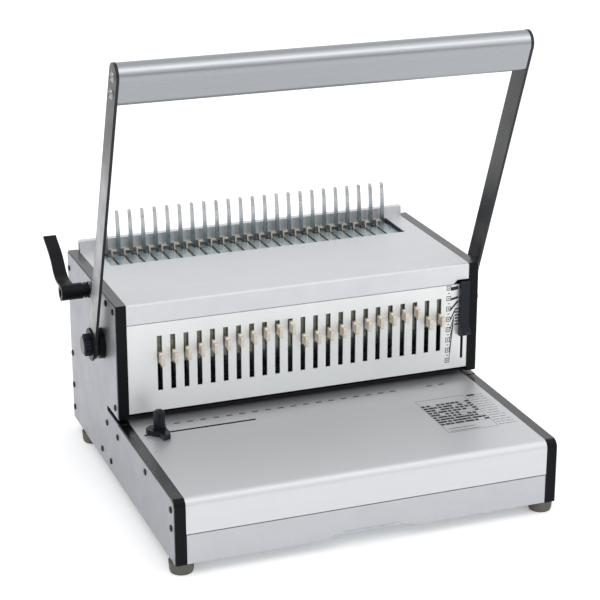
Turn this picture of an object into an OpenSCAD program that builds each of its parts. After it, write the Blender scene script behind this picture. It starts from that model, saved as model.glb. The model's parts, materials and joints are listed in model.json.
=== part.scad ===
// Manual comb punch and binding machine, desktop size.
// Frame: +X right, +Y to the rear, +Z up; origin on the table under the middle of the machine.
// All lengths in millimetres.

/* [Body] */
// Width over the two side skins
body_w = 407; // [405:1:410]
// Depth from the front edge to the rear cover
body_d = 384.6; // [383:0.2:386]
// Height of the bed above the table
bed_z = 80; // [79.8:0.1:80.2]
// Height of the head above the table
head_z = 210; // [209.5:0.5:211]
// Height of the rubber feet
foot_h = 12; // [11:0.5:13]
// Thickness of the side plate without its skin
plate_t = 11; // [10:0.5:11]
// Thickness of the thin outer skin on each side
skin_t = 1; // [0.8:0.1:1.2]
// Thickness of the folded sheet covers
sheet_t = 1.5; // [1.2:0.1:1.6]
// Radius of the bed's front edge
bed_r = 8; // [7:0.5:9]

/* [Punching] */
// Distance between neighbouring comb holes
pitch = 14.2875; // [14.28:0.0025:14.29]
// Number of punch pins
pin_n = 23; // [21:2:23]
// Width of one punched hole
hole_w = 8; // [7.6:0.2:8.2]
// Depth of one punched hole
hole_d = 3; // [2.8:0.1:3]
// Distance of the pin row behind the head's front face
pin_y = 38.5; // [38.3:0.1:38.7]
// Length of the slots in the front panel
slot_h = 60.1; // [59.5:0.1:61]
// Width of the slots in the front panel
slot_w = 5.4; // [5.2:0.1:5.6]

/* [Handle] */
// Height of the handle's pivot above the table
pivot_z = 152; // [152:0.5:154]
// Distance of the handle's pivot behind the head's front face
pivot_y = 54.5; // [54:0.5:55]
// Length of the arms from the pivot to their top
arm_len = 347.8; // [330:1:360]
// Width of the arms
arm_w = 25; // [23:1:26]
// Thickness of the arms
arm_t = 3; // [3:0.5:4]
// Forward lean of the resting handle in degrees
lean = 21.7; // [18:0.1:24]
// Radius of the crank that drives the punch carriage
crank_r = 13; // [12.6:0.1:13.2]

/* [Comb opener] */
// Number of upright tines
tine_n = 24; // [22:2:24]
// Height of the tines above the head
tine_h = 44.6; // [40:0.1:46]
// Radius of the crank that draws the hooks forward
hook_crank_r = 20; // [19.5:0.5:20.5]

/* [Hidden] */
$fn = 48;
eps = 0.01;
plate_in = body_w / 2 - skin_t - plate_t;
fit_in = plate_in - 0.1;
skin_out = body_w / 2;
skin_inset = 1.3;
front_y = -body_d / 2;
rear_y = body_d / 2;
plate_rear = rear_y + 3;
side_corner_r = 8;

// Throat between the die and the punch guide
throat_lo = bed_z + 0.3;
throat_hi = bed_z + 5.4;
throat_depth = 44;

// Head panel, lip and comb window
panel_lo = bed_z + 10.5;
lip_lo = head_z - 22;
slot_hi = head_z - 37.1;
win_x = 172;
win_y0 = 127;
win_y1 = 184;
riser_y = 184.5;
riser_top = head_z + 12;

// Handle parts outwards from the skin
arm_gap = 9;
arm_in = skin_out + arm_gap;
arm_out = arm_in + arm_t;
shaft_r = 9;
bush_r = 16;
disc_r = 17.5;
disc_t = 1.5;
knob_r = 10.5;
brake_end = 227.2;
run_gap = 0.05;
crank_rest = 31;
bar_len = 41;
bar_hw = arm_w / 2 - 0.3;

// Punch carriage
car_lo = 141;
car_hi = 184;
car_side = 182.5;
block_x = 161.8;
block_y0 = 30;
block_y1 = 42;
guide_top = 104;
post_x = 177;
post_y = 36;
post_r = 5;
crank_pin_r = 4;
yoke_gap = 0.4;

// Comb opener
tine_y = 176;
tine_t = 1.8;
tine_hw = 2.65;
lever_y = 103;
lever_z = 195;
lever_shaft_r = 5.5;
comb_plate_z = 203.5;
comb_plate_t = 2;
hook_dx = 4.6;
// one hook in each gap between two tines
hook_n = tine_n - 1;
hook_y = 170.3;
hook_t = 1.6;
lever_end = 234.4;
lever_w = 13.9;
hook_crank_rest = 35;
hook_pin_r = 3;

// Margin control
mslide_x0 = 180.3;
mslide_x1 = 191;
mslot_x = 185.3;
mpin_y = 60;
mpin_z = 112;
mtravel = 24;
mgain = 0.125;

// Edge guide
guide_x = -169.5;
guide_y = -33.6;
guide_slot_x0 = -185.5;
guide_t = 5.6;
guide_slot_x1 = -65;

// Release clip height at a given pin: the clips climb in ramps of eleven, ten and two
function ramp_top(i) =
  i < 11 ? 156.2 + 1.52 * i : i < 21 ? 155.8 + 1.52 * (i - 11) : 156.3 + 1.1 * (i - 21);
function pin_x(i) = (i - (pin_n - 1) / 2) * pitch;
function tine_x(j) = (j - (tine_n - 1) / 2) * pitch;
function polar(r, a) = [r * cos(a), r * sin(a)];

// ---------- helpers ----------

// Extrudes a profile drawn as (Y, Z) along X from x0
module along_x(x0, len) {
  translate([x0, 0, 0])
    rotate([90, 0, 90])
      linear_extrude(len) children();
}

// Extrudes a profile drawn as (X, Z) along Y from y0
module along_y(y0, len) {
  translate([0, y0 + len, 0])
    rotate([90, 0, 0])
      linear_extrude(len) children();
}

module box(x0, x1, y0, y1, z0, z1) {
  translate([x0, y0, z0])
    cube([x1 - x0, y1 - y0, z1 - z0]);
}

module rod_x(x0, x1, y, z, r) {
  translate([x0, y, z])
    rotate([0, 90, 0])
      cylinder(h = x1 - x0, r = r);
}

module tube_x(x0, x1, y, z, r, bore) {
  difference() {
    rod_x(x0, x1, y, z, r);
    rod_x(x0 - 1, x1 + 1, y, z, bore);
  }
}

module rounded_rect(x0, y0, x1, y1, r) {
  translate([x0 + r, y0]) square([x1 - x0 - 2 * r, y1 - y0]);
  translate([x0, y0 + r]) square([x1 - x0, y1 - y0 - 2 * r]);
  for (x = [x0 + r, x1 - r], y = [y0 + r, y1 - r])
    translate([x, y]) circle(r);
}

// Part of a ring between two angles less than 180 degrees apart
module ring_sector(r, t, a0, a1) {
  far = 2 * r;
  intersection() {
    difference() {
      circle(r + t / 2);
      circle(r - t / 2);
    }
    polygon([[0, 0], polar(far, a0), polar(far, (a0 + a1) / 2), polar(far, a1)]);
  }
}

// Side profile of the machine, as (Y, Z), drawn inside its edge by a margin
module side_profile(inset) {
  lo = foot_h + inset;
  difference() {
    union() {
      translate([front_y + inset, lo])
        square([plate_rear - front_y - 2 * inset, bed_z - inset - lo]);
      translate([inset, lo])
        square([plate_rear - 2 * inset, head_z - inset - lo]);
    }
    translate([front_y + inset, bed_z - inset - side_corner_r])
      difference() {
        translate([-1, 0]) square([side_corner_r + 1, side_corner_r + 1]);
        translate([side_corner_r, 0]) circle(side_corner_r);
      }
  }
}

// Open slot in the sides that lets wide paper run through the throat
module throat_notch(lo, hi) {
  r = (hi - lo) / 2;
  translate([-1, lo]) square([throat_depth - r + 1, hi - lo]);
  translate([throat_depth - r, lo + r]) circle(r);
}

// Screw places on a side, as (Y, Z)
SCREW_YZ = [
  [-183, 48.6], [-183, 68], [-97, 70], [4.5, 65], [46, 65], [35, 25], [70, 25],
  [10, 96], [188, 27], [188, 54], [188, 92], [188, 192], [7, 202.2], [35, 202.5]
];

module screw_holes(x0, len) {
  for (p = SCREW_YZ)
    rod_x(x0, x0 + len, p[0], p[1], 2.05);
}

// ---------- frame ----------

module side_plate(side) {
  x0 = side < 0 ? -plate_in - plate_t : plate_in;
  difference() {
    along_x(x0, plate_t)
      difference() {
        side_profile(0);
        throat_notch(throat_lo + 0.2, throat_hi);
      }
    rod_x(x0 - 1, x0 + plate_t + 1, pivot_y, pivot_z, bush_r - 3);
    if (side < 0)
      rod_x(x0 - 1, x0 + plate_t + 1, lever_y, lever_z, lever_shaft_r + run_gap);
    else
      rod_x(x0 - 1, x0 + 5, lever_y, lever_z, lever_shaft_r + run_gap);
    screw_holes(side < 0 ? x0 - 1 : x0 + plate_t - 7, 8);
  }
}

module left_side_plate() color([0.05, 0.05, 0.06]) side_plate(-1);
module right_side_plate() color([0.05, 0.05, 0.06]) side_plate(1);

module side_skin(side) {
  x0 = side < 0 ? -skin_out : skin_out - skin_t;
  hub_hole_r = bush_r + 0.6;
  difference() {
    along_x(x0, skin_t)
      difference() {
        side_profile(skin_inset);
        throat_notch(throat_lo - 0.4, throat_hi + 1);
        translate([pivot_y, pivot_z]) circle(hub_hole_r);
        if (side < 0)
          translate([lever_y, lever_z]) circle(9);
      }
    screw_holes(x0 - 1, skin_t + 2);
  }
}

module left_side_skin() color([0.72, 0.73, 0.76]) side_skin(-1);
module right_side_skin() color([0.72, 0.73, 0.76]) side_skin(1);

module base_plate() color([0.35, 0.36, 0.38]) {
  lo = foot_h + 2;
  box(-fit_in, fit_in, front_y + 4, rear_y - 4, lo, lo + 2);
  box(-fit_in, fit_in, rear_y - 6, rear_y - 4, lo, lo + 10);
}

module feet() color([0.55, 0.52, 0.48])
  for (x = [-193, 193], y = [-179, 150])
    translate([x, y, 0]) {
      cylinder(h = 3, r1 = 11, r2 = 12);
      translate([0, 0, 3]) cylinder(h = foot_h - 3, r1 = 12, r2 = 12.6);
    }

module side_screws() color([0.06, 0.06, 0.07])
  for (side = [-1, 1], p = SCREW_YZ)
    translate([side * skin_out, p[0], p[1]])
      rotate([0, side * 90, 0]) {
        difference() {
          rotate_extrude() {
            square([3.4, 0.5]);
            translate([0, 0.5]) square([2.6, 0.7]);
            translate([2.6, 0.5])
              intersection() {
                circle(0.7);
                square(0.8);
              }
          }
          translate([0, 0, 0.5]) cylinder(h = 2, r = 1.15, $fn = 6);
        }
        translate([0, 0, -6]) cylinder(h = 6.1, r = 2);
      }

module drawer_rails() color([0.62, 0.64, 0.67])
  for (side = [-1, 1])
    scale([side, 1, 1]) {
      box(185.5, fit_in, front_y + 6, 60, 18, 19.5);
      box(fit_in - 1.5, fit_in, front_y + 6, 60, 18, 30);
    }

// ---------- covers ----------

module bed_cover() color([0.74, 0.75, 0.77]) {
  t = 2;
  skirt_lo = 43.9;
  difference() {
    along_x(-fit_in, 2 * fit_in) {
      translate([front_y + bed_r, bed_z - t]) square([26 - front_y - bed_r, t]);
      translate([front_y + bed_r, bed_z - bed_r])
        ring_sector(bed_r - t / 2, t, 90, 180);
      translate([front_y, skirt_lo]) square([t, bed_z - bed_r - skirt_lo]);
      translate([front_y, skirt_lo]) square([11, t]);
    }
    box(guide_slot_x0, guide_slot_x1, guide_y - 1.7, guide_y + 1.7, bed_z - 5, bed_z + 5);
  }
}

module front_panel() color([0.76, 0.77, 0.79]) {
  y0 = 0.4;
  hi = lip_lo - 0.7;
  slot_lo = slot_hi - slot_h;
  difference() {
    union() {
      box(-fit_in, fit_in, y0, y0 + sheet_t, panel_lo, hi);
      box(-fit_in, fit_in, y0, 12, panel_lo, panel_lo + sheet_t);
    }
    for (i = [0 : pin_n - 1])
      box(pin_x(i) - slot_w / 2, pin_x(i) + slot_w / 2, y0 - 1, y0 + 3, slot_lo, slot_hi);
    box(mslot_x - 1.5, mslot_x + 1.5, y0 - 1, y0 + 3, 101, 183);
  }
}

module top_cover() color([0.76, 0.77, 0.79]) {
  t = sheet_t;
  step_x = 172.6;
  difference() {
    along_x(-fit_in, 2 * fit_in) {
      translate([0, lip_lo]) square([t, head_z - lip_lo - 2 * t]);
      translate([2 * t, head_z - 2 * t]) ring_sector(1.5 * t, t, 90, 180);
      translate([2 * t, head_z - t]) square([riser_y - 2 * t + t, t]);
      translate([riser_y, head_z - t]) square([t, riser_top - head_z + t]);
      translate([riser_y, riser_top - t]) square([rear_y - riser_y, t]);
      translate([rear_y - t, head_z - 14]) square([t, riser_top - head_z + 14]);
    }
    box(-win_x, win_x, win_y0, win_y1, head_z - 5, head_z + 5);
    along_y(-5, 8)
      polygon([[step_x, lip_lo - 1], [step_x + 5.4, lip_lo + 4.4],
               [fit_in + 5, lip_lo + 4.4], [fit_in + 5, lip_lo - 1]]);
  }
}

module rear_cover() color([0.76, 0.77, 0.79]) {
  y1 = rear_y - sheet_t - 0.1;
  slot_x0 = 60;
  difference() {
    union() {
      box(-fit_in, fit_in, y1 - sheet_t, y1, foot_h + 3, head_z - 3);
      for (side = [-1, 1])
        scale([side, 1, 1])
          box(fit_in - sheet_t, fit_in, y1 - 12, y1, foot_h + 30, head_z - 30);
    }
    for (side = [-1, 1], k = [0 : 5])
      along_y(y1 - 5, 10)
        translate([side * (slot_x0 + 14 * k), 120])
          rounded_rect(-2, 0, 2, 40, 1.9);
  }
}

// ---------- punching unit ----------

module die_block() color([0.45, 0.46, 0.48])
  difference() {
    box(-fit_in, fit_in, 26.2, 56, 62, throat_lo);
    for (i = [0 : pin_n - 1])
      box(pin_x(i) - hole_w / 2 - 0.1, pin_x(i) + hole_w / 2 + 0.1,
          pin_y - hole_d / 2 - 0.1, pin_y + hole_d / 2 + 0.1, 60, throat_lo + 1);
  }

module punch_guide() color([0.45, 0.46, 0.48])
  difference() {
    union() {
      box(-fit_in, fit_in, 28, 49, throat_hi, guide_top);
      box(-fit_in, fit_in, 3, 29, throat_hi, throat_hi + 2);
    }
    for (i = [0 : pin_n - 1])
      box(pin_x(i) - hole_w / 2 - 0.1, pin_x(i) + hole_w / 2 + 0.1,
          pin_y - hole_d / 2 - 0.1, pin_y + hole_d / 2 + 0.1, throat_hi - 1, guide_top + 1);
    for (side = [-1, 1])
      translate([side * post_x, post_y, guide_top - 10]) cylinder(h = 20, r = post_r + 0.02);
  }

module guide_posts() color([0.75, 0.76, 0.78])
  for (side = [-1, 1])
    translate([side * post_x, post_y, guide_top - 10])
      cylinder(h = 196 - guide_top + 10, r = post_r);

module top_brace() color([0.35, 0.36, 0.38])
  difference() {
    union() {
      box(-fit_in, fit_in, 27, 45, 194, 197);
      box(-fit_in, fit_in, 42, 45, 188, 197);
    }
    for (side = [-1, 1])
      translate([side * post_x, post_y, 190]) cylinder(h = 20, r = post_r + 0.02);
  }

// Carriage: front flange that carries the clips, top web, rear block with the pins
module pressure_bar() color([0.42, 0.43, 0.42])
  difference() {
    union() {
      box(-car_side, car_side, 4, 6.5, car_lo, car_hi);
      box(-car_side, car_side, 4, block_y1, car_hi - 3.5, car_hi);
      box(-block_x, block_x, block_y0, block_y1, car_lo, car_hi);
      for (side = [-1, 1])
        scale([side, 1, 1])
          box(167, car_side, block_y0, 44.8, car_lo, car_hi);
    }
    for (i = [0 : pin_n - 1]) {
      shank_mid = ramp_top(i) - 7;
      box(pin_x(i) - 2.1, pin_x(i) + 2.1, 3, 37.2, shank_mid - 3.1, shank_mid + 3.1);
      box(pin_x(i) - hole_w / 2 - 0.05, pin_x(i) + hole_w / 2 + 0.05,
          pin_y - hole_d / 2 - 0.05, pin_y + hole_d / 2 + 0.05, car_lo - 1, 176);
    }
    for (side = [-1, 1])
      scale([side, 1, 1]) {
        translate([post_x, post_y, car_lo - 1]) cylinder(h = 60, r = post_r + 0.05);
        translate([0, 0, pivot_z + crank_r * sin(crank_rest)])
          box(166, 171.9, 36, 50, -crank_pin_r - yoke_gap, crank_pin_r + yoke_gap);
      }
  }

module punch_pins() color([0.66, 0.67, 0.69])
  for (i = [0 : pin_n - 1])
    difference() {
      box(pin_x(i) - hole_w / 2, pin_x(i) + hole_w / 2,
          pin_y - hole_d / 2, pin_y + hole_d / 2, throat_hi + 0.6, 175.9);
      box(pin_x(i) - 2.1, pin_x(i) + 2.1, pin_y - hole_d, pin_y - hole_d / 2 + 1.2,
          ramp_top(i) - 10.1, ramp_top(i) - 3.9);
    }

// Release clip: a block in front of the panel with a thumb notch in its sloping top, and a flat
// shank to the pin
module clip(i) color([0.78, 0.70, 0.55]) {
  top = ramp_top(i);
  along_x(pin_x(i) - 1.7, 3.4) {
    polygon([[-0.6, top - 11.5], [-0.6, top], [-4.6, top], [-7.4, top - 2.2], [-8.6, top - 2.2],
             [-9.2, top - 1.2], [-12, top - 1.8], [-12.4, top - 2.4], [-12.4, top - 11.8],
             [-12, top - 12.4], [-9.6, top - 12.4], [-7.6, top - 11.2]]);
    translate([-1, top - 9.8]) square([38.8, 5.6]);
  }
}

// ---------- waste drawer ----------

module waste_drawer() color([0.72, 0.73, 0.75]) {
  front_lo = foot_h + 0.4;
  front_hi = 43;
  front_x = fit_in - 0.5;
  half = 52;
  rise = 6.5;
  steps = 28;
  difference() {
    box(-front_x, front_x, front_y, front_y + 2, front_lo, front_hi);
    along_y(front_y - 1, 4)
      polygon(concat([[-half, front_lo - 1]],
        [for (k = [0 : steps])
          let (u = k / steps, w = min(1, 4 * min(u, 1 - u)))
          [-half + 2 * half * u, front_lo + rise * (1 - cos(180 * w)) / 2]],
        [[half, front_lo - 1]]));
  }
  difference() {
    box(-182, 182, front_y + 1.5, 62, 17.5, 39);
    box(-180.5, 180.5, front_y + 3, 60.5, 19, 40);
  }
  for (side = [-1, 1])
    scale([side, 1, 1])
      box(181, 188.5, front_y + 1.5, 58, 20, 21.5);
}

// ---------- handle ----------

// Shaft with a crank and crank pin near each end
module handle_shaft() color([0.55, 0.56, 0.58]) {
  rod_x(-arm_out - disc_t, arm_out + disc_t, pivot_y, pivot_z, shaft_r);
  for (side = [-1, 1])
    scale([side, 1, 1]) {
      rod_x(162.6, 166.4, pivot_y, pivot_z, 12);
      along_x(162.6, 3.8)
        translate([pivot_y, pivot_z])
          rotate(180 - crank_rest) {
            translate([0, -4.5]) square([crank_r, 9]);
            translate([crank_r, 0]) circle(4.5);
          }
      rod_x(166.3, 171.5, pivot_y - crank_r * cos(crank_rest),
            pivot_z + crank_r * sin(crank_rest), crank_pin_r);
    }
}

// Frame of the resting arm: local +Y runs up the arm from the pivot
module arm_profile() {
  circle(16);
  translate([-arm_w / 2, 0]) square([arm_w, arm_len - arm_w / 2]);
  translate([0, arm_len - arm_w / 2]) circle(arm_w / 2);
}

module in_arm_plane() translate([pivot_y, pivot_z]) rotate(lean) children();

ARM_SCREWS = [arm_len - 14, arm_len - 33];

module handle_arm(x0)
  along_x(x0, arm_t)
    in_arm_plane()
      difference() {
        arm_profile();
        circle(shaft_r);
        for (s = ARM_SCREWS)
          translate([0, s]) circle(2.1);
      }

module left_handle_arm() color([0.06, 0.06, 0.07]) handle_arm(-arm_out);
module right_handle_arm() color([0.06, 0.06, 0.07]) handle_arm(arm_in);

module handle_bar() color([0.74, 0.75, 0.77])
  along_x(-arm_in, 2 * arm_in)
    in_arm_plane()
      translate([0, arm_len])
        difference() {
          bar_outline(0);
          difference() {
            bar_outline(2);
            for (s = ARM_SCREWS)
              translate([0, s - arm_len]) {
                circle(4.2);
                translate([-bar_hw, -1]) square([2 * bar_hw, 2]);
              }
          }
          for (s = ARM_SCREWS)
            translate([0, s - arm_len]) circle(2.1);
        }

// Flattened oval of the grip, drawn downwards from the arm's end
module bar_outline(wall) {
  r = bar_hw - wall;
  foot_r = 6 - wall;
  translate([0, -arm_w / 2]) circle(r);
  translate([-r, -bar_len + wall + foot_r]) square([2 * r, bar_len - wall - foot_r - arm_w / 2]);
  translate([-r + foot_r, -bar_len + wall]) square([2 * (r - foot_r), foot_r + 1]);
  for (s = [-1, 1])
    translate([s * (r - foot_r), -bar_len + wall + foot_r]) circle(foot_r);
}

module handle_screws() color([0.8, 0.81, 0.83])
  for (side = [-1, 1], s = ARM_SCREWS)
    translate([side * arm_out, pivot_y - s * sin(lean), pivot_z + s * cos(lean)])
      rotate([0, side * 90, 0]) {
        difference() {
          rotate_extrude()
            intersection() {
              translate([0, -4.6]) circle(7);
              square([6, 3]);
            }
          translate([0, 0, 1.2]) cylinder(h = 3, r = 1.6, $fn = 6);
        }
        translate([0, 0, -14]) cylinder(h = 14.1, r = 2.05);
      }

module shaft_bushings() color([0.05, 0.05, 0.06])
  for (side = [-1, 1])
    scale([side, 1, 1])
      difference() {
        union() {
          rod_x(plate_in - 1, skin_out - skin_t + 0.5, pivot_y, pivot_z, bush_r - 3);
          rod_x(skin_out - skin_t, arm_in - 3.4, pivot_y, pivot_z, bush_r);
          rod_x(arm_in - 3.4, arm_in - 0.4, pivot_y, pivot_z, bush_r - 3);
        }
        rod_x(plate_in - 5, arm_in + 5, pivot_y, pivot_z, shaft_r + run_gap);
      }

module hub_discs() color([0.07, 0.07, 0.08])
  for (side = [-1, 1])
    scale([side, 1, 1])
      difference() {
        union() {
          rod_x(arm_out, arm_out + disc_t - 0.5, pivot_y, pivot_z, disc_r);
          rod_x(arm_out, arm_out + disc_t, pivot_y, pivot_z, disc_r - 0.5);
        }
        rod_x(arm_in, arm_out + disc_t + 1, pivot_y, pivot_z, shaft_r);
      }

// Ribbed knob with a chamfered face
module hub_knob(x0, x1) {
  ribs = 10;
  rib_at = knob_r - 0.6;
  rod_x(x0, x1 - 1, pivot_y, pivot_z, knob_r);
  translate([x1 - 1, pivot_y, pivot_z])
    rotate([0, 90, 0])
      cylinder(h = 1, r1 = knob_r, r2 = knob_r - 1.4);
  for (k = [0 : ribs - 1])
    rod_x(x0, x1 - 1.6, pivot_y + rib_at * cos(360 * k / ribs),
          pivot_z + rib_at * sin(360 * k / ribs), 1.9);
}

// The left knob is plain; the right one is shorter and carries the brake's round nut
module hub_knobs() color([0.06, 0.07, 0.1]) {
  x0 = arm_out + disc_t;
  scale([-1, 1, 1]) hub_knob(x0, x0 + 8);
  hub_knob(x0, x0 + 4);
  rod_x(x0 + 3, brake_end, pivot_y, pivot_z, 6.5);
}

// ---------- comb opener ----------

module comb_plate() color([0.6, 0.66, 0.7])
  difference() {
    strip_y = tine_y + tine_t;
    strip_t = 1.5;
    union() {
      box(-fit_in, fit_in, 116, strip_y + strip_t, comb_plate_z, comb_plate_z + comb_plate_t);
      for (side = [-1, 1])
        scale([side, 1, 1])
          box(fit_in - 2, fit_in, 116, 175, 186, comb_plate_z + comb_plate_t);
      // folded strip that the tines are fixed to, and its foot
      box(-fit_in, fit_in, strip_y, strip_y + strip_t, 184, comb_plate_z + comb_plate_t);
      box(-fit_in, fit_in, strip_y, rear_y - 5.6, 184, 186);
    }
    for (j = [0 : tine_n - 1]) {
      x = tine_x(j);
      if (j < hook_n) {
        box(x + hook_dx - 1.4, x + hook_dx + 1.4, 130, 173.2, comb_plate_z - 1, 210);
        box(x - 1.5, x + hook_dx - 1, 169, 176, comb_plate_z - 1, 210);
      }
      box(x - tine_hw - 0.1, x + tine_hw + 0.1, tine_y - 0.1, strip_y, comb_plate_z - 1, 210);
    }
  }

// Each tine stands on its own foot against the strip and curves back towards its tip
module comb_tines() color([0.68, 0.72, 0.75]) {
  foot_z = 187;
  bend_z = 222;
  tip_r = 1.95;
  tip_z = head_z + tine_h - tip_r;
  lean_max = 14;
  steps = 8;
  bend_r = (head_z + tine_h + 1 - bend_z) / sin(lean_max);
  centre = [tine_y + tine_t + bend_r, bend_z];
  front = [for (k = [0 : steps]) centre + polar(bend_r + tine_t, 180 - lean_max * k / steps)];
  back = [for (k = [steps : -1 : 0]) centre + polar(bend_r, 180 - lean_max * k / steps)];
  for (j = [0 : tine_n - 1])
    intersection() {
      along_y(tine_y - 1, 12)
        translate([tine_x(j), 0]) {
          polygon([[-tine_hw, foot_z], [tine_hw, foot_z], [tip_r, tip_z], [-tip_r, tip_z]]);
          translate([0, tip_z]) circle(tip_r);
        }
      along_x(tine_x(j) - 5, 10)
        polygon(concat([[tine_y, foot_z - 1]], front, back, [[tine_y + tine_t, foot_z - 1]]));
    }
}

module hook_carriage() color([0.74, 0.68, 0.56]) {
  plate_y0 = 136;
  lo = 199.4;
  hi = 202.6;
  slot_x0 = hook_crank_r * sin(hook_crank_rest) + lever_y;
  slot_half = hook_pin_r + 0.5;
  box(-170.5, 170.5, plate_y0, 174, lo, hi);
  for (j = [0 : hook_n - 1])
    along_y(hook_y - 2.2, 4.4)
      translate([tine_x(j) + hook_dx, 0]) {
        translate([-hook_t / 2, hi - 1]) square([hook_t, 213.2 - hi + 1]);
        translate([-hook_t / 2, 211.6]) square([6.2, hook_t]);
      }
  for (side = [-1, 1])
    scale([side, 1, 1])
      along_x(153.5, 5)
        difference() {
          polygon([[150, lo + 1], [150, 184], [123, 168], [106, 168], [106, 187], [128, 187],
                   [plate_y0, lo + 1]]);
          translate([slot_x0 - slot_half, 174]) square([2 * slot_half, 6]);
          translate([slot_x0, 174]) circle(slot_half);
          translate([slot_x0, 180]) circle(slot_half);
        }
}

// Shaft with a crank and crank pin near each end
module lever_shaft() color([0.55, 0.56, 0.58]) {
  rod_x(-213, plate_in + 4, lever_y, lever_z, lever_shaft_r);
  for (side = [-1, 1])
    scale([side, 1, 1]) {
      along_x(159.2, 4)
        translate([lever_y, lever_z]) {
          circle(8.6);
          rotate(hook_crank_rest - 90) {
            translate([0, -4]) square([hook_crank_r, 8]);
            translate([hook_crank_r, 0]) circle(4);
          }
        }
      rod_x(152.8, 159.3, lever_y + hook_crank_r * sin(hook_crank_rest),
            lever_z - hook_crank_r * cos(hook_crank_rest), hook_pin_r);
    }
}

module lever_hub() color([0.05, 0.05, 0.06]) {
  hub_r = 8.6;
  difference() {
    rod_x(-lever_end, -211.2, lever_y, lever_z, hub_r);
    rod_x(-lever_end - 1, -lever_end + 12, lever_y, lever_z, 4.6);
    rod_x(-213, -210, lever_y, lever_z, lever_shaft_r);
  }
  for (x = [-206.4, -209.4])
    tube_x(x, x + 1.8, lever_y, lever_z, hub_r - 0.2, lever_shaft_r);
  tube_x(-211.3, -204, lever_y, lever_z, lever_shaft_r + 1.2, lever_shaft_r);
}

// Blade: back from the hub, up in one bend and flatter again in the other
module comb_lever() color([0.05, 0.05, 0.06]) {
  t = 2.6;
  run = 11;
  r1 = 26;
  r2 = 60;
  h1 = 50;
  h2 = 26;
  tip_len = 20;
  steps = 24;
  start = [lever_y + 1, lever_z + 7.4];
  c1 = start + [run, r1];
  c2 = c1 + polar(r1 + r2, h1 - 90);
  tip = c2 + polar(r2, h2 + 90) + polar(tip_len, h2);
  // the blade's upper edge, then its lower one
  edges = [for (side = [1, -1]) concat(
    [start + [0, side * t / 2]],
    [for (k = [0 : steps]) c1 + polar(r1 - side * t / 2, -90 + h1 * k / steps)],
    [for (k = [1 : steps]) c2 + polar(r2 + side * t / 2, 90 + h1 - (h1 - h2) * k / steps)],
    [tip + polar(side * t / 2, h2 + 90)])];
  last = len(edges[1]) - 1;
  along_x(-lever_end, lever_w)
    difference() {
      polygon(concat(edges[0], [for (k = [last : -1 : 0]) edges[1][k]]));
      translate([lever_y, lever_z]) circle(8.6);
    }
}

// ---------- margin control ----------

module margin_slider() color([0.05, 0.05, 0.06]) {
  grip_lo = 137.5;
  grip_hi = 191;
  along_x(mslide_x0, mslide_x1 - mslide_x0)
    polygon([[0, grip_lo], [0, grip_hi], [-3.6, grip_hi], [-4.6, grip_hi - 1], [-4.6, 140],
             [-9.5, 137], [-9.5, 133.5], [-5.5, 129], [0, 129]]);
  // stem through the panel and the cam behind it
  along_x(mslot_x - 1.2, 2.4)
    difference() {
      union() {
        translate([-0.5, 150]) square([43.5, 8]);
        translate([36, 129]) square([7, 29]);
        translate([36, 129]) square([30, 12.5]);
        translate([50, 106]) square([16, 35.5]);
      }
      translate([mpin_y, mpin_z]) cam_slot();
    }
}

// Slanted slot that pushes the stop forward while the slider goes down
module cam_slot() {
  r = 2.3;
  a = atan(mgain);
  rotate(a) translate([-r, 0]) square([2 * r, mtravel / cos(a)]);
  circle(r);
  rotate(a) translate([0, mtravel / cos(a)]) circle(r);
}

module depth_stop() color([0.6, 0.61, 0.63]) {
  lo = throat_lo + 0.3;
  hi = throat_hi - 0.3;
  box(-165, 183, 45.5, 49.5, lo, hi);
  box(179, 183, 45.5, 63, lo, hi);
  box(179, 183, 57, 63, lo, mpin_z + 3);
  rod_x(182, 188.5, mpin_y, mpin_z, 2);
}

// ---------- edge guide ----------

module edge_guide() color([0.06, 0.06, 0.07]) {
  lo = bed_z + 0.3;
  difference() {
    union() {
      translate([guide_x, guide_y, lo])
        linear_extrude(bed_z + guide_t - lo)
          polygon([[-13, 5], [-12.5, 0], [-9, -5], [-3, -9.5], [-1.2, -20.5], [6.6, -17.5],
                   [7.6, -8], [6.6, 6], [1, 11], [-7, 11]]);
      translate([guide_x, guide_y, lo]) cylinder(h = bed_z + guide_t + 1 - lo, r = 7.2);
    }
    translate([guide_x, guide_y, lo - 1]) cylinder(h = 20, r = 1.35);
  }
  // guide key and nut below the bed
  difference() {
    box(guide_x - 8, guide_x + 8, guide_y - 5, guide_y + 5, bed_z - 6, bed_z - 2.4);
    translate([guide_x, guide_y, bed_z - 7]) cylinder(h = 20, r = 1.35);
  }
}

module guide_knob() color([0.05, 0.05, 0.06]) {
  grip_r = 5.6;
  z0 = bed_z + guide_t + 1;
  z1 = z0 + 19.4;
  ribs = 12;
  translate([guide_x, guide_y, 0]) {
    translate([0, 0, z0]) cylinder(h = z1 - z0 - 3, r = grip_r);
    translate([0, 0, z1 - 3])
      rotate_extrude() {
        square([grip_r - 3, 3]);
        translate([grip_r - 3, 0])
          intersection() {
            circle(3);
            square(3);
          }
      }
    for (k = [0 : ribs - 1])
      translate([(grip_r - 0.2) * cos(360 * k / ribs), (grip_r - 0.2) * sin(360 * k / ribs), z0 + 1])
        cylinder(h = z1 - z0 - 5, r = 0.7);
    translate([0, 0, bed_z - 7.5]) cylinder(h = 16, r = 1.3);
  }
}

// ---------- nodes ----------

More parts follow.
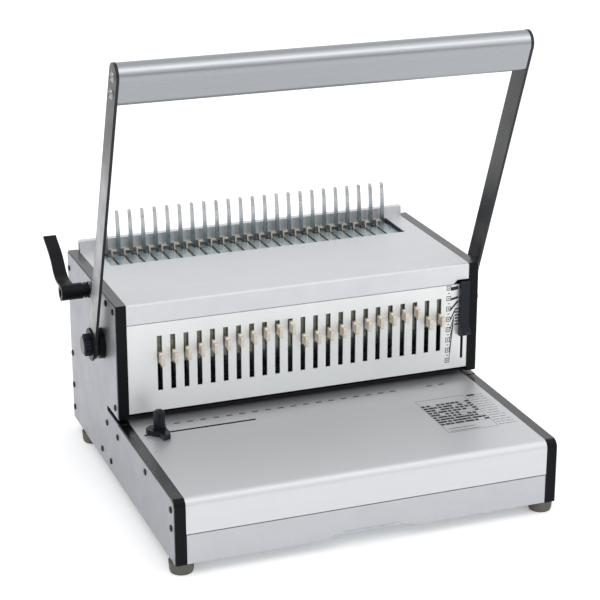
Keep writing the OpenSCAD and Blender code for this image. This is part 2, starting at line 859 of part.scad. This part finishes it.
left_side_plate();
right_side_plate();
left_side_skin();
right_side_skin();
base_plate();
bed_cover();
front_panel();
top_cover();
rear_cover();
feet();
side_screws();
drawer_rails();
die_block();
punch_guide();
guide_posts();
top_brace();
shaft_bushings();
comb_plate();
comb_tines();
waste_drawer();
pressure_bar();
punch_pins();
handle_shaft();
left_handle_arm();
right_handle_arm();
handle_bar();
handle_screws();
hub_discs();
hub_knobs();
lever_shaft();
lever_hub();
comb_lever();
hook_carriage();
margin_slider();
depth_stop();
edge_guide();
guide_knob();
clip(0);  // clip_01
clip(1);  // clip_02
clip(2);  // clip_03
clip(3);  // clip_04
clip(4);  // clip_05
clip(5);  // clip_06
clip(6);  // clip_07
clip(7);  // clip_08
clip(8);  // clip_09
clip(9);  // clip_10
clip(10);  // clip_11
clip(11);  // clip_12
clip(12);  // clip_13
clip(13);  // clip_14
clip(14);  // clip_15
clip(15);  // clip_16
clip(16);  // clip_17
clip(17);  // clip_18
clip(18);  // clip_19
clip(19);  // clip_20
clip(20);  // clip_21
clip(21);  // clip_22
clip(22);  // clip_23
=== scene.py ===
import json
import random

import bpy
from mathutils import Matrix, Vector


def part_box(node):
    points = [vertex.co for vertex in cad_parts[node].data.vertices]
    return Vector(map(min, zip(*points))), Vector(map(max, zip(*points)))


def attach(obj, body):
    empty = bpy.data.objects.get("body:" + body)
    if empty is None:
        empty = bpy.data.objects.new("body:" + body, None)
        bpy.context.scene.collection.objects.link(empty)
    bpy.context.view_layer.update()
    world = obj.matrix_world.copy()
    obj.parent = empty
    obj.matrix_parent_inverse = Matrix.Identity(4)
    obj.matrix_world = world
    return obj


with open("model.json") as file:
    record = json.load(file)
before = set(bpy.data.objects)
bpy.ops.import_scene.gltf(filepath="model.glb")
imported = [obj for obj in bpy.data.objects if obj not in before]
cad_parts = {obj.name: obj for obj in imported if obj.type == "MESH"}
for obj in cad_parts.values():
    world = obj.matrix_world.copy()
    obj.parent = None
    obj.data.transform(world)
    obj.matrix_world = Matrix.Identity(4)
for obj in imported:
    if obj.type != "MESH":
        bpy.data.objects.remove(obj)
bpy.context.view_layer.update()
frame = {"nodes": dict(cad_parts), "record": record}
nodes = frame["nodes"]
scene = bpy.context.scene
MM = 0.001

# ---------- camera ----------

CAMERA_AT = Vector((-0.6579, -1.7333, 0.8574))
CAMERA_AIM = Vector((0.0065, 0.0264, 0.1823))
SENSOR_MM, LENS_MM = 36, 112.9


def aim(thing, at, target):
    """Puts a camera or a light at one point and turns it towards another."""
    thing.location = at
    thing.rotation_euler = (Vector(target) - Vector(at)).to_track_quat("-Z", "Y").to_euler()


camera_data = bpy.data.cameras.new("camera")
camera_data.sensor_width = SENSOR_MM
camera_data.lens = LENS_MM
camera_data.clip_end = 60
camera = bpy.data.objects.new("camera", camera_data)
scene.collection.objects.link(camera)
aim(camera, CAMERA_AT, CAMERA_AIM)
scene.camera = camera

# ---------- studio ----------

scene.view_settings.view_transform = "Standard"
scene.view_settings.look = "None"

# White behind the machine, and in front of it a wall that is dim at the floor and brightest a
# little above eye level: (height, level) pairs, where height is the view direction's Z
STUDIO_TINT = (0.985, 0.99, 1.0, 1)
BACK_LIGHT = 1.02
FRONT_SCALE = 1.3
FRONT_PROFILE = ((0.0, 0.26), (0.07, 0.30), (0.19, 0.74), (0.34, 0.98), (0.6, 0.86), (1.0, 0.70))
# the view direction's Y at which the front wall starts to fade and is gone
FADE_START, FADE_END = -0.6, 0.15


def studio_world():
    world = bpy.data.worlds.new("studio")
    world.use_nodes = True
    tree = world.node_tree
    direction = tree.nodes.new("ShaderNodeTexCoord")
    split = tree.nodes.new("ShaderNodeSeparateXYZ")
    profile = tree.nodes.new("ShaderNodeValToRGB")
    stops = profile.color_ramp.elements
    while len(stops) < len(FRONT_PROFILE):
        stops.new(0.5)
    for stop, (height, level) in zip(stops, FRONT_PROFILE):
        stop.position = height
        stop.color = (level, level, level, 1)
    front = tree.nodes.new("ShaderNodeMath")
    front.operation = "MULTIPLY"
    front.inputs[1].default_value = FRONT_SCALE
    behind = tree.nodes.new("ShaderNodeMapRange")
    behind.interpolation_type = "SMOOTHSTEP"
    for socket, number in zip(("From Min", "From Max", "To Min", "To Max"), (FADE_START, FADE_END, 0, 1)):
        behind.inputs[socket].default_value = number
    strength = tree.nodes.new("ShaderNodeMix")
    strength.inputs["B"].default_value = BACK_LIGHT
    background = tree.nodes["Background"]
    background.inputs["Color"].default_value = STUDIO_TINT
    tree.links.new(direction.outputs["Generated"], split.inputs[0])
    tree.links.new(split.outputs["Z"], profile.inputs["Fac"])
    tree.links.new(profile.outputs["Color"], front.inputs[0])
    tree.links.new(split.outputs["Y"], behind.inputs["Value"])
    tree.links.new(behind.outputs[0], strength.inputs["Factor"])
    tree.links.new(front.outputs[0], strength.inputs["A"])
    tree.links.new(strength.outputs[0], background.inputs["Strength"])
    return world


def area_light(name, at, target, size, watts, colour=(1, 1, 1), only=()):
    """A rectangular lamp that the camera doesn't see; it can be kept for the nodes in only."""
    data = bpy.data.lights.new(name, "AREA")
    data.shape = "RECTANGLE"
    data.size, data.size_y = size
    data.energy = watts
    data.color = colour
    light = bpy.data.objects.new(name, data)
    scene.collection.objects.link(light)
    aim(light, at, target)
    light.visible_camera = False
    if only:
        lit = bpy.data.collections.new(name)
        scene.collection.children.link(lit)
        for node in only:
            lit.objects.link(nodes[node])
        light.light_linking.receiver_collection = lit


scene.world = studio_world()
area_light("top_softbox", (0.25, -0.75, 1.7), (0, -0.05, 0.2), size=(2.4, 1.2), watts=6)
area_light("left_softbox", (-1.8, 0.7, 1.6), (0, 0.05, 0.15), size=(1.2, 1.2), watts=5)
area_light("right_fill", (1.6, -1.3, 0.9), (0, 0, 0.15), size=(1.4, 1.2), watts=4)
area_light("arm_panel", (-0.39, 0.48, 0.04), (-0.215, 0.0, 0.24), size=(0.32, 0.32), watts=0.62,
           colour=(0.93, 0.96, 1.0), only=("left_handle_arm", "right_handle_arm"))
area_light("bar_strip", (0.2, -0.78, 1.32), (0.2, -0.065, 0.46), size=(2.4, 0.6), watts=5.2,
           colour=(1.0, 1.0, 0.95), only=("handle_bar",))

FLOOR_HALF = 14
floor_mesh = bpy.data.meshes.new("floor")
floor_mesh.from_pydata([(x * FLOOR_HALF, y * FLOOR_HALF, 0) for x, y in ((-1, -1), (1, -1), (1, 1), (-1, 1))],
                       [], [(0, 1, 2, 3)])
floor = bpy.data.objects.new("floor", floor_mesh)
scene.collection.objects.link(floor)

# ---------- materials ----------

SOCKETS = {"specular": "Specular IOR Level", "anisotropic": "Anisotropic"}


def shade(colour, factor, lift=0.0):
    """A lighter or darker tone of a colour."""
    return [min(1, c * factor + lift) for c in colour]


class Finish:
    """One procedural material: a Principled shader and the nodes that feed it."""

    def __init__(self, name, colour, metallic, roughness, **constants):
        self.name = name
        self.mat = bpy.data.materials.new(name)
        self.mat.use_nodes = True
        self.tree = self.mat.node_tree
        self.shader = self.tree.nodes["Principled BSDF"]
        self.colour = (*colour, 1)
        self.put("Base Color", self.colour)
        self.put("Metallic", metallic)
        self.put("Roughness", roughness)
        for key, value in constants.items():
            self.put(SOCKETS[key], value)
        self.place = self.add("ShaderNodeTexCoord").outputs["Object"]
        self.tone = None
        self.normal = None

    def put(self, socket, value):
        self.shader.inputs[socket].default_value = value

    def add(self, kind, **settings):
        node = self.tree.nodes.new(kind)
        for key, value in settings.items():
            setattr(node, key, value)
        return node

    def link(self, source, socket):
        self.tree.links.new(source, socket)

    def stretched(self, stretch):
        mapping = self.add("ShaderNodeMapping")
        mapping.inputs["Scale"].default_value = stretch
        self.link(self.place, mapping.inputs["Vector"])
        return mapping.outputs["Vector"]

    def noise(self, scale, detail=2.0, stretch=None, roughness=0.5, distortion=0.0):
        node = self.add("ShaderNodeTexNoise")
        node.inputs["Scale"].default_value = scale
        node.inputs["Detail"].default_value = detail
        node.inputs["Roughness"].default_value = roughness
        node.inputs["Distortion"].default_value = distortion
        self.link(self.stretched(stretch) if stretch else self.place, node.inputs["Vector"])
        return node.outputs["Fac"]

    def cells(self, scale):
        """A random grey for each small cell."""
        node = self.add("ShaderNodeTexVoronoi")
        node.inputs["Scale"].default_value = scale
        self.link(self.place, node.inputs["Vector"])
        grey = self.add("ShaderNodeSeparateColor")
        self.link(node.outputs["Color"], grey.inputs[0])
        return grey.outputs[0]

    def remap(self, value, low, high, to_low, to_high):
        node = self.add("ShaderNodeMapRange")
        self.link(value, node.inputs["Value"])
        for socket, number in zip(("From Min", "From Max", "To Min", "To Max"), (low, high, to_low, to_high)):
            node.inputs[socket].default_value = number
        return node.outputs[0]

    def maths(self, operation, a, b):
        node = self.add("ShaderNodeMath", operation=operation)
        for socket, value in zip(node.inputs, (a, b)):
            if isinstance(value, (int, float)):
                socket.default_value = value
            else:
                self.link(value, socket)
        return node.outputs[0]

    def tint(self, fac, colour):
        """Mixes a colour over what the base colour is so far, where fac says."""
        node = self.add("ShaderNodeMix", data_type="RGBA")
        factor, a, b = node.inputs[0], node.inputs[6], node.inputs[7]
        self.link(fac, factor)
        if self.tone is None:
            a.default_value = self.colour
        else:
            self.link(self.tone, a)
        b.default_value = (*colour, 1)
        self.tone = node.outputs[2]
        self.link(self.tone, self.shader.inputs["Base Color"])
        return self

    def by_height(self, start, full, colour, amount):
        """Fades a colour in between two heights, in metres; full may be the lower one."""
        split = self.add("ShaderNodeSeparateXYZ")
        self.link(self.place, split.inputs[0])
        return self.tint(self.remap(split.outputs["Z"], start, full, 0, amount), colour)

    def rough(self, value):
        self.link(value, self.shader.inputs["Roughness"])
        return self

    def grazing_gloss(self, straight, slanting):
        """Dull when seen straight on and glossy at a slant, as satin paint is."""
        slant = self.add("ShaderNodeLayerWeight").outputs["Facing"]
        self.link(self.remap(slant, 0.3, 0.7, straight, slanting), self.shader.inputs[SOCKETS["specular"]])
        return self

    def round_edges(self, radius):
        """Rounds sharp edges for the light, as paint or a deburred edge does."""
        node = self.add("ShaderNodeBevel", samples=4)
        node.inputs["Radius"].default_value = radius
        self.normal = node.outputs[0]
        self.link(self.normal, self.shader.inputs["Normal"])
        return self

    def edge_mask(self):
        """1 on sharp edges, from how far the rounded normal leans from the face's own."""
        dot = self.add("ShaderNodeVectorMath", operation="DOT_PRODUCT")
        self.link(self.normal, dot.inputs[0])
        self.link(self.add("ShaderNodeNewGeometry").outputs["Normal"], dot.inputs[1])
        return self.remap(self.maths("SUBTRACT", 1.0, dot.outputs["Value"]), 0.01, 0.12, 0, 1)

    def bump(self, relief, depth, strength):
        node = self.add("ShaderNodeBump")
        node.inputs["Distance"].default_value = depth
        node.inputs["Strength"].default_value = strength
        self.link(relief, node.inputs["Height"])
        if self.normal is not None:
            self.link(self.normal, node.inputs["Normal"])
        self.normal = node.outputs[0]
        self.link(self.normal, self.shader.inputs["Normal"])
        return self


def powder_coat(name, colour, roughness, metallic=0.0, grain=1300, wear=None, **constants):
    """Baked powder coat: fine orange peel, slight clouding and thin wear on the edges."""
    f = Finish(name, colour, metallic, roughness, **constants)
    f.round_edges(0.0004)
    speckle = f.cells(grain * 1.6)
    f.tint(f.remap(speckle, 0.0, 1.0, 0.0, 0.16), shade(colour, 0.72))
    f.tint(f.remap(speckle, 0.86, 1.0, 0.0, 0.22), shade(colour, 1.5, 0.02))
    f.tint(f.remap(f.noise(9, 3), 0.35, 0.7, 0.0, 0.10), shade(colour, 0.82))
    if wear:
        rub = f.maths("MULTIPLY", f.edge_mask(), f.remap(f.noise(60, 4), 0.5, 0.72, 0.0, 0.8))
        f.tint(rub, wear)
    f.rough(f.remap(f.noise(35, 4), 0.3, 0.7, roughness - 0.05, roughness + 0.06))
    return f.bump(f.noise(grain, 3), 0.00003, 0.55)


def brushed(name, colour, roughness, metallic=1.0, streak=0.10, anisotropy=0.35, fine=2600, clouds=0.07):
    """Brushed metal: long streaks along X in tone, gloss and relief."""
    f = Finish(name, colour, metallic, roughness, anisotropic=anisotropy)
    f.round_edges(0.0003)
    stretch = (0.012, 1.0, 1.0)
    lines = f.noise(fine, 2, stretch)
    broad = f.noise(fine * 0.14, 3, stretch)
    f.tint(f.remap(lines, 0.3, 0.7, 0.0, streak), shade(colour, 0.55))
    f.tint(f.remap(broad, 0.42, 0.7, 0.0, streak), shade(colour, 1.25))
    f.tint(f.remap(f.noise(7, 4, roughness=0.6), 0.35, 0.7, 0.0, clouds), shade(colour, 0.8))
    f.rough(f.remap(lines, 0.25, 0.75, roughness - 0.06, roughness + 0.08))
    return f.bump(lines, 0.000012, 0.5)


def zinc(name, colour, roughness, yellow=0.25):
    """Bright zinc plate: blue-grey with soft clouds, a faint warm bloom and a fine spangle."""
    f = Finish(name, colour, 1.0, roughness)
    f.round_edges(0.00025)
    red, green, blue = colour
    cloud = f.noise(70, 5, roughness=0.65, distortion=0.6)
    f.tint(f.remap(cloud, 0.4, 0.62, 0.0, 0.55), [red * 0.62, green * 0.72, blue * 0.76])
    f.tint(f.remap(f.noise(31, 3, distortion=0.4), 0.52, 0.7, 0.0, yellow), [0.86, 0.82, 0.70])
    f.tint(f.remap(f.cells(900), 0.0, 1.0, 0.0, 0.12), [0.9, 0.95, 0.98])
    f.rough(f.remap(f.noise(160, 4), 0.3, 0.7, roughness - 0.07, roughness + 0.12))
    return f.bump(f.noise(420, 4), 0.00003, 0.6)


def moulded(name, colour, roughness, grain=900, depth=0.00002, **constants):
    """Moulded plastic: a fine spark-eroded grain and slightly polished edges."""
    f = Finish(name, colour, 0.0, roughness, **constants)
    f.round_edges(0.0004)
    f.tint(f.remap(f.noise(grain, 2), 0.3, 0.7, 0.0, 0.25), shade(colour, 0.7))
    f.tint(f.maths("MULTIPLY", f.edge_mask(), 0.3), shade(colour, 2.2, 0.01))
    f.rough(f.remap(f.noise(50, 4), 0.3, 0.7, roughness - 0.06, roughness + 0.08))
    return f.bump(f.noise(grain, 3), depth, 0.6)


def rubber(name, colour):
    """Matt rubber with a coarse grain and lighter scuffs."""
    f = Finish(name, colour, 0.0, 0.82)
    f.round_edges(0.0005)
    f.tint(f.remap(f.noise(300, 5), 0.35, 0.65, 0.0, 0.5), shade(colour, 0.72))
    f.tint(f.remap(f.noise(40, 3), 0.5, 0.75, 0.0, 0.4), shade(colour, 1.3))
    f.rough(f.remap(f.noise(120, 3), 0.3, 0.7, 0.74, 0.9))
    return f.bump(f.noise(700, 4), 0.00006, 0.7)


def polished(name, colour, roughness):
    """Turned and polished metal with faint marks in tone and gloss."""
    f = Finish(name, colour, 1.0, roughness)
    f.round_edges(0.0002)
    f.tint(f.remap(f.noise(500, 4), 0.4, 0.7, 0.0, 0.2), shade(colour, 0.7))
    f.rough(f.remap(f.noise(300, 4), 0.3, 0.7, roughness * 0.7, roughness * 1.6))
    return f.bump(f.noise(900, 2), 0.000008, 0.4)


def ink(name, colour):
    """Screen printed ink: flat, slightly uneven and matt."""
    f = Finish(name, colour, 0.0, 0.6)
    f.tint(f.remap(f.noise(1500, 3), 0.35, 0.7, 0.0, 0.35), shade(colour, 1.8, 0.03))
    f.rough(f.remap(f.noise(800, 3), 0.3, 0.7, 0.5, 0.7))
    return f.bump(f.noise(2000, 2), 0.00001, 0.5)


def floor_paint():
    """White paper that also glows a little, so that it stays white round the machine."""
    f = Finish("floor_paint", (0.93, 0.93, 0.935), 0.0, 0.85)
    f.put("Emission Color", (1, 1, 1, 1))
    f.put("Emission Strength", 0.22)
    return f.tint(f.remap(f.noise(1.5, 2), 0.3, 0.7, 0.0, 0.3), (0.92, 0.92, 0.925))


BLACK = (0.0028, 0.0032, 0.0045)
# a painted highlight for the tines' tips and painted shade for their roots
TINE_TIP_HIGHLIGHT, TINE_BASE_SHADE = (0.62, 0.62, 0.61), (0.16, 0.185, 0.18)
FINISHES = (
    powder_coat("plate_black", BLACK, 0.24, wear=(0.04, 0.04, 0.05)).grazing_gloss(0.11, 1.0),
    powder_coat("arm_black", BLACK, 0.36, grain=1500, wear=(0.07, 0.07, 0.08), specular=0.42),
    powder_coat("lever_black", BLACK, 0.34, grain=1500, wear=(0.25, 0.25, 0.26), specular=0.14),
    # skin_silver is the head's silver set darker: painted shade on the side faces
    powder_coat("skin_silver", (0.31, 0.317, 0.342), 0.40, 0.75, grain=1100),
    powder_coat("cover_silver", (0.64, 0.648, 0.67), 0.44, 0.75, grain=1200),
    powder_coat("panel_silver", (0.76, 0.775, 0.768), 0.42, 0.6, grain=1200),
    powder_coat("drawer_silver", (0.49, 0.488, 0.52), 0.42, 0.75, grain=1200),
    brushed("bed_aluminium", (0.60, 0.608, 0.625), 0.43, 0.8, streak=0.05, anisotropy=0.1, clouds=0.03),
    brushed("bar_aluminium", (0.33, 0.342, 0.36), 0.30, streak=0.04, anisotropy=0.15, clouds=0.03),
    zinc("frame_zinc", (0.50, 0.53, 0.55), 0.42),
    rubber("foot_rubber", (0.096, 0.093, 0.08)),
    moulded("screw_black", (0.004, 0.004, 0.005), 0.36, grain=2500, depth=0.00001, specular=0.16),
    polished("screw_chrome", (0.29, 0.30, 0.33), 0.10),
    # die_steel is set near black: painted shade in the throat under the head
    brushed("die_steel", (0.02, 0.0205, 0.022), 0.38, fine=1800),
    polished("bright_steel", (0.22, 0.225, 0.235), 0.3),
    zinc("carriage_steel", (0.14, 0.14, 0.10), 0.45, yellow=0.04),
    moulded("black_nylon", (0.003, 0.0035, 0.0045), 0.36, specular=0.12),
    moulded("knob_plastic", (0.003, 0.006, 0.012), 0.24, grain=1400, depth=0.00001, specular=0.22),
    moulded("guide_plastic", (0.003, 0.0045, 0.009), 0.22, specular=0.22),
    zinc("zinc_plate", (0.50, 0.58, 0.61), 0.30),
    # the tines get a painted highlight at their tips and painted shade towards the comb plate
    zinc("zinc_tine", (0.45, 0.49, 0.51), 0.26, yellow=0.1)
    .by_height(0.228, 0.242, TINE_TIP_HIGHLIGHT, 0.75).by_height(0.232, 0.216, TINE_BASE_SHADE, 0.7),
    polished("hook_nickel", (0.72, 0.63, 0.50), 0.30),
    polished("clip_nickel", (0.66, 0.59, 0.50), 0.36),
)
finish_of = {finish.name: finish for finish in FINISHES}
slot_of = {row["node"]: row["material_slot"] for row in frame["record"]["subparts"]}
for name, part in nodes.items():
    for material_slot in part.material_slots:
        material_slot.material = finish_of[slot_of[name]].mat
floor.data.materials.append(floor_paint().mat)

# ---------- printed marks, in millimetres ----------

INK = ink("print_black", (0.006, 0.006, 0.008))
FAINT_INK = ink("print_grey", (0.16, 0.16, 0.17))
FILM = 0.04
BED_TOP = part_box("bed_cover")[1].z / MM
PANEL_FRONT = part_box("front_panel")[0].y / MM
PITCH = 14.2875


def printed(name, quads, finish):
    """Thin printed film from flat quads, each four corners and the side that it faces."""
    verts, faces = [], []
    for corners, facing in quads:
        base = [Vector(corner) for corner in corners]
        first = len(verts)
        verts += [MM * corner for corner in base] + [MM * (corner + Vector(facing) * FILM) for corner in base]
        faces += [tuple(first + k for k in (3, 2, 1, 0)), tuple(first + k for k in (4, 5, 6, 7))]
        faces += [(first + k, first + (k + 1) % 4, first + 4 + (k + 1) % 4, first + 4 + k) for k in range(4)]
    mesh = bpy.data.meshes.new(name)
    mesh.from_pydata(verts, [], faces)
    mesh.materials.append(finish.mat)
    piece = bpy.data.objects.new(name, mesh)
    scene.collection.objects.link(piece)
    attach(piece, "frame")


def on_bed(x0, x1, y0, y1):
    """A rectangle on the bed."""
    return [(x0, y0, BED_TOP), (x1, y0, BED_TOP), (x1, y1, BED_TOP), (x0, y1, BED_TOP)], (0, 0, 1)


def upright(x0, x1, z0, z1, y):
    """A rectangle that faces the operator."""
    return [(x0, y, z0), (x1, y, z0), (x1, y, z1), (x0, y, z1)], (0, -1, 0)


def on_panel(x0, x1, z0, z1):
    """A rectangle on the head's front panel."""
    return upright(x0, x1, z0, z1, PANEL_FRONT)


def panel_stroke(a, b, width):
    """A straight line on the panel from a to b, each (x, z)."""
    start, end = Vector(a), Vector(b)
    along = (end - start).normalized()
    side = Vector((-along.y, along.x)) * width / 2
    outline = (start - side, end - side, end + side, start + side)
    return [(p.x, PANEL_FRONT, p.y) for p in outline], (0, -1, 0)


# A dash in front of each punch slot. Two have worn off
SLOTS, WORN_DASHES = 23, (19, 20)
DASH_SHIFT, DASH_HALF, DASH_Y = -2.3, 3.2, (-15.7, -13.5)


def bed_dashes():
    for k in range(SLOTS):
        if k not in WORN_DASHES:
            x = (k - (SLOTS - 1) / 2) * PITCH + DASH_SHIFT
            yield on_bed(x - DASH_HALF, x + DASH_HALF, *DASH_Y)


# Black film on the rear wall of the edge guide's slot, as painted shade inside the slot
SLOT_SHADE_X, SLOT_SHADE_Y, BED_THICK = (-185.3, -65.2), -31.9, 2

# Plain chart on the bed's right side: a frame with rows of dark bars, and rows of fine grey
# lines to the right of it. Some bars are missing, mostly in two sparse columns
CHART_X, CHART_Y = (108, 186), (-137, -51)
COLS, ROWS, BAR_COLS = 14, 14, 10
FRAME_HALF_X, FRAME_HALF_Y = 0.2, 0.25
BAR_ROWS, FOOTER_ROW = range(2, 11), 12
SPARSE_COLS, SPARSE_ROWS, SPARSE_GAP, GAP = (2, 8), range(7), 0.65, 0.06
CHART_TAB = (167, 175.5, -56, -51.8)
# heights above a row's lower edge
UNDERLINE, BAR, RULE, FOOTER = (0.9, 1.3), (1.2, 5.0), (2.2, 3.5), (2.4, 3.4)
# shortest and longest: rules and their gaps in millimetres, bars and footers in column widths
RULE_RUN, RULE_GAP, BAR_RUN, FOOTER_RUN = (3, 9), (0.6, 1.6), (0.75, 1.08), (5, 8)


def on_row(x0, x1, y, heights):
    """A mark in the chart's row that starts at y."""
    return on_bed(x0, x1, y + heights[0], y + heights[1])


def bed_chart():
    """The chart's bars and its fine lines."""
    draw = random.Random(7)
    left, right = CHART_X
    bottom, top = CHART_Y
    col_w, row_h = (right - left) / COLS, (top - bottom) / ROWS
    frame_right = left + BAR_COLS * col_w
    bars = [on_bed(x - FRAME_HALF_X, x + FRAME_HALF_X, bottom, top) for x in (left, frame_right)]
    bars += [on_bed(left, frame_right, y - FRAME_HALF_Y, y + FRAME_HALF_Y) for y in CHART_Y]
    rules = []
    for row in range(ROWS):
        y = top - (row + 1) * row_h
        x = left + (BAR_COLS + 0.4) * col_w
        while x < right - 3:
            run = draw.uniform(*RULE_RUN)
            rules.append(on_row(x, min(x + run, right - 1), y, RULE))
            x += run + draw.uniform(*RULE_GAP)
        if row in BAR_ROWS:
            bars.append(on_row(left + 1, frame_right - 0.4 * col_w, y, UNDERLINE))
            for col in range(BAR_COLS):
                gap = SPARSE_GAP if col in SPARSE_COLS and row in SPARSE_ROWS else GAP
                if draw.random() > gap:
                    x = left + col * col_w
                    bars.append(on_row(x + 0.4, x + draw.uniform(*BAR_RUN) * col_w, y, BAR))
        elif row >= FOOTER_ROW:
            bars.append(on_row(left + 3, left + draw.uniform(*FOOTER_RUN) * col_w, y, FOOTER))
    bars.append(on_bed(*CHART_TAB))
    return bars, rules


# Margin scale: a column of boxes, and a line from each one towards the margin slider. The lower
# lines end beside a row of teeth next to the slider
BOX_X, BOX_Z, BOX_STEP = 168.5, 100.5, 11.94
BOX_OUTER, BOX_INNER, BOX_DOT = 2.7, 1.9, 0.8
TICK_HALF, TICK_Z = 1.2, (5.5, 6.4)
TEETH, TOOTH_X, TOOTH_Z, TOOTH_STEP, TOOTH_HALF = 6, (176.0, 180.0), 141.6, 3.5, 0.9
# The top line's width of 4.2 takes in the shadow under the lip's cut corner: partly a printed line, partly
# painted shadow
LEADERS = (((170.8, 101.6), (174.3, 141), 0.7), ((170.9, 112.7), (174.6, 144), 0.8),
           ((171.0, 125), (175.1, 147.6), 0.9), ((171.2, 136.6), (175.4, 151.5), 1.0),
           ((171.2, 147.6), (176.2, 158), 1.5), ((170.4, 158.4), (179.6, 168.2), 2.1),
           ((171.2, 170.7), (179.6, 172.6), 2.6), ((171.0, 182.6), (179.6, 183.6), 4.2))


def margin_scale():
    out, inn = BOX_OUTER, BOX_INNER
    box_sides = ((-out, out, inn, out), (-out, out, -out, -inn),
                 (-out, -inn, -inn, inn), (inn, out, -inn, inn))
    dot = (-BOX_DOT, BOX_DOT, -BOX_DOT, BOX_DOT)
    tick = (-TICK_HALF, TICK_HALF, *TICK_Z)
    for k in range(len(LEADERS)):
        z = BOX_Z + k * BOX_STEP
        last = k == len(LEADERS) - 1
        for x0, x1, z0, z1 in (*box_sides, dot) if last else (*box_sides, dot, tick):
            yield on_panel(BOX_X + x0, BOX_X + x1, z + z0, z + z1)
    for start, end, width in LEADERS:
        yield panel_stroke(start, end, width)
    for k in range(TEETH):
        z = TOOTH_Z + k * TOOTH_STEP
        yield on_panel(*TOOTH_X, z - TOOTH_HALF, z + TOOTH_HALF)


printed("bed_dashes", bed_dashes(), INK)
# painted shade inside the edge guide's slot
printed("slot_painted_shade", [upright(*SLOT_SHADE_X, BED_TOP - BED_THICK, BED_TOP, SLOT_SHADE_Y)], INK)
chart_bars, chart_rules = bed_chart()
printed("bed_chart", chart_bars, INK)
printed("bed_chart_lines", chart_rules, FAINT_INK)
printed("margin_scale", margin_scale(), INK)
